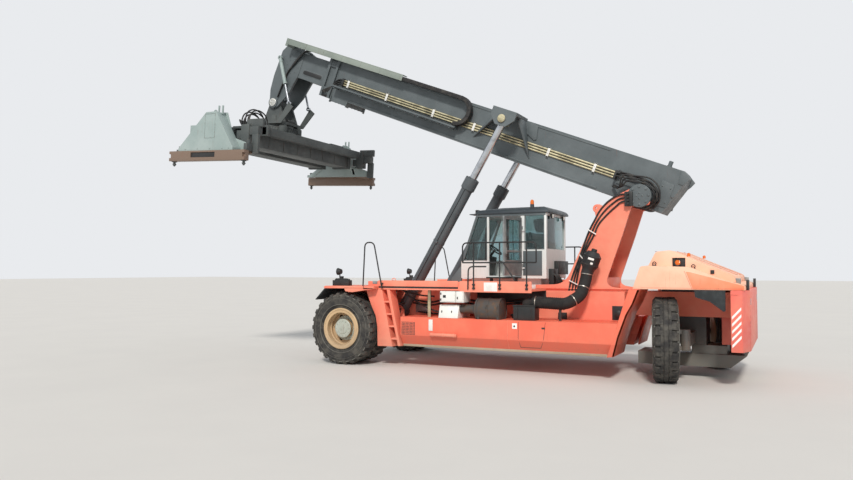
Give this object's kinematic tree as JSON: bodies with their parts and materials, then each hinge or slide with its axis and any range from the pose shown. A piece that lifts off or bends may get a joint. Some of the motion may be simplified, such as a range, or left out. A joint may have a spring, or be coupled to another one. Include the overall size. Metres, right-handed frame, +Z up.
{
  "type": "reach stacker",
  "caption": "Container-handling reach stacker with a telescopic boom, central cab, steered rear wheels and a slewing telescopic spreader, parked with the cab door open.",
  "frame": {"origin": "middle of the machine's outline in plan, on the ground under the tyres", "axes": "+X forward, the way the cab faces; +Y to the driver's left; +Z up"},
  "size_m": [13.301, 6.058, 8.5184],
  "materials": {
    "chassis_red": "aged gloss paint",
    "hood_red": "sun-faded matt paint",
    "boom_grey": "satin paint",
    "spreader_grey": "worn satin paint",
    "axle_grey": "dirty matt paint",
    "cylinder_grey": "satin paint",
    "chrome_rod": "polished",
    "pipe_zinc": "yellow zinc plate",
    "tyre_rubber": "matt, dusty",
    "rim_cream": "satin paint, dusty",
    "black_steel": "black paint",
    "black_rubber": "matt",
    "cab_white": "gloss paint",
    "cab_glass": "tinted",
    "seat_fabric": "woven",
    "rusty_steel": "rusty"
  },
  "bodies": {
    "chassis": {"main_frame": "chassis_red", "tower": "chassis_red", "side_body_left": "chassis_red", "side_body_right": "chassis_red", "walkway": "chassis_red", "fenders": "chassis_red", "drive_axle": "axle_grey", "steer_axle": "axle_grey", "counterweight": "chassis_red", "hood": "hood_red", "engine": "axle_grey", "cab_shell": "cab_white", "cab_glass": "cab_glass", "cab_seat": "seat_fabric", "handrails": "black_steel", "muffler": "rusty_steel", "intake_duct": "black_rubber"},
    "front_wheels_left": {"front_tyres_left": "tyre_rubber", "front_rims_left": "rim_cream"},
    "front_wheels_right": {"front_tyres_right": "tyre_rubber", "front_rims_right": "rim_cream"},
    "knuckle_left": {"knuckle_left": "axle_grey"},
    "knuckle_right": {"knuckle_right": "axle_grey"},
    "rear_wheel_left": {"rear_tyre_left": "tyre_rubber", "rear_rim_left": "rim_cream"},
    "rear_wheel_right": {"rear_tyre_right": "tyre_rubber", "rear_rim_right": "rim_cream"},
    "boom": {"boom_outer": "boom_grey", "boom_pipes": "pipe_zinc", "chain_run": "black_rubber"},
    "chain_loop": {"chain_loop": "black_rubber"},
    "inner_boom": {"boom_inner": "boom_grey", "chain_cover": "spreader_grey"},
    "lift_barrel_left": {"lift_barrel_left": "cylinder_grey"},
    "lift_barrel_right": {"lift_barrel_right": "cylinder_grey"},
    "lift_rod_left": {"lift_rod_left": "chrome_rod"},
    "lift_rod_right": {"lift_rod_right": "chrome_rod"},
    "cab_door": {"cab_door": "cab_white"},
    "hanger": {"hanger": "spreader_grey"},
    "damper_barrels": {"damper_barrels": "cylinder_grey"},
    "damper_rods": {"damper_rods": "chrome_rod"},
    "rotator": {"rotator": "axle_grey"},
    "spreader_frame": {"spreader_frame": "boom_grey"},
    "spreader_end_left": {"spreader_end_left": "spreader_grey"},
    "spreader_end_right": {"spreader_end_right": "spreader_grey"}
  },
  "joints": [
    {"name": "front_wheels_left_roll", "type": "hinge", "parent": "chassis", "child": "front_wheels_left", "pos_m": [2.0855, 0, 0.84], "axis": [0, 1, 0], "continuous": true},
    {"name": "front_wheels_right_roll", "type": "hinge", "parent": "chassis", "child": "front_wheels_right", "pos_m": [2.0855, 0, 0.84], "axis": [0, 1, 0], "continuous": true},
    {"name": "steer_left", "type": "hinge", "parent": "chassis", "child": "knuckle_left", "pos_m": [-5.4645, 1.25, 0.84], "axis": [0, 0, 1], "range_deg": [0, 141]},
    {"name": "rear_wheel_left_roll", "type": "hinge", "parent": "knuckle_left", "child": "rear_wheel_left", "pos_m": [-5.4645, 1.25, 0.84], "axis": [0.9848, 0.1736, 0], "continuous": true},
    {"name": "steer_right", "type": "hinge", "parent": "chassis", "child": "knuckle_right", "pos_m": [-5.4645, -1.25, 0.84], "axis": [0, 0, 1], "range_deg": [0, 108.01]},
    {"name": "rear_wheel_right_roll", "type": "hinge", "parent": "knuckle_right", "child": "rear_wheel_right", "pos_m": [-5.4645, -1.25, 0.84], "axis": [0.8746, 0.4848, 0], "continuous": true},
    {"name": "boom_lift", "type": "hinge", "parent": "chassis", "child": "boom", "pos_m": [-4.5145, 0, 3.78], "axis": [0, -1, 0], "range_deg": [-20, 36]},
    {"name": "boom_telescope", "type": "slide", "parent": "boom", "child": "inner_boom", "axis": [0.9272, 0, 0.3746], "range_m": [0, 5]},
    {"name": "chain_follow", "type": "slide", "parent": "boom", "child": "chain_loop", "axis": [0.9272, 0, 0.3746], "range_m": [0, 2.52]},
    {"name": "lift_barrel_left_swing", "type": "hinge", "parent": "chassis", "child": "lift_barrel_left", "pos_m": [1.0355, 1, 1.22], "axis": [0, -1, 0], "range_deg": [-2.1, 3.54]},
    {"name": "lift_rod_left_stroke", "type": "slide", "parent": "lift_barrel_left", "child": "lift_rod_left", "axis": [-0.5153, 0, 0.857], "range_m": [-1.1825, 2.1246]},
    {"name": "lift_barrel_right_swing", "type": "hinge", "parent": "chassis", "child": "lift_barrel_right", "pos_m": [1.0355, -1, 1.22], "axis": [0, -1, 0], "range_deg": [-2.1, 3.54]},
    {"name": "lift_rod_right_stroke", "type": "slide", "parent": "lift_barrel_right", "child": "lift_rod_right", "axis": [-0.5153, 0, 0.857], "range_m": [-1.1825, 2.1246]},
    {"name": "cab_door_hinge", "type": "hinge", "parent": "chassis", "child": "cab_door", "pos_m": [-1.9345, 0.8, 2.62], "axis": [0, 0, 1], "range_deg": [-80, 10]},
    {"name": "spreader_tilt", "type": "hinge", "parent": "inner_boom", "child": "hanger", "pos_m": [5.50048, 0, 6.88799], "axis": [0, -1, 0], "range_deg": [-36, 20]},
    {"name": "damper_swing", "type": "hinge", "parent": "inner_boom", "child": "damper_barrels", "pos_m": [5.20048, 0, 8.08799], "axis": [0, -1, 0], "range_deg": [-4.98, 2.9]},
    {"name": "damper_stroke", "type": "slide", "parent": "damper_barrels", "child": "damper_rods", "axis": [-0.232, 0, -0.9727], "range_m": [-0.3674, 0.2059]},
    {"name": "spreader_slew", "type": "hinge", "parent": "hanger", "child": "rotator", "pos_m": [5.63971, 0, 6.02742], "axis": [-0.0523, 0, 0.9986], "range_deg": [-180, 180]},
    {"name": "side_shift", "type": "slide", "parent": "rotator", "child": "spreader_frame", "axis": [0, 1, 0], "range_m": [-0.8, 0.8]},
    {"name": "extend_left", "type": "slide", "parent": "spreader_frame", "child": "spreader_end_left", "axis": [0, 1, 0], "range_m": [0, 3.05]},
    {"name": "extend_right", "type": "slide", "parent": "spreader_frame", "child": "spreader_end_right", "axis": [0, -1, 0], "range_m": [0, 3.05]}
  ],
  "couplings": [
    {"joint": "steer_right", "follows": "steer_left", "ratio": 0.7625},
    {"joint": "chain_follow", "follows": "boom_telescope", "ratio": 0.5},
    {"joint": "lift_barrel_left_swing", "follows": "boom_lift", "ratio": 0.09},
    {"joint": "lift_rod_left_stroke", "follows": "boom_lift", "m_per_rad": 3.3734},
    {"joint": "lift_barrel_right_swing", "follows": "boom_lift", "ratio": 0.09},
    {"joint": "lift_rod_right_stroke", "follows": "boom_lift", "m_per_rad": 3.3734},
    {"joint": "damper_swing", "follows": "spreader_tilt", "ratio": 0.13},
    {"joint": "damper_stroke", "follows": "spreader_tilt", "m_per_rad": 0.5783},
    {"joint": "extend_right", "follows": "extend_left", "ratio": 1}
  ]
}
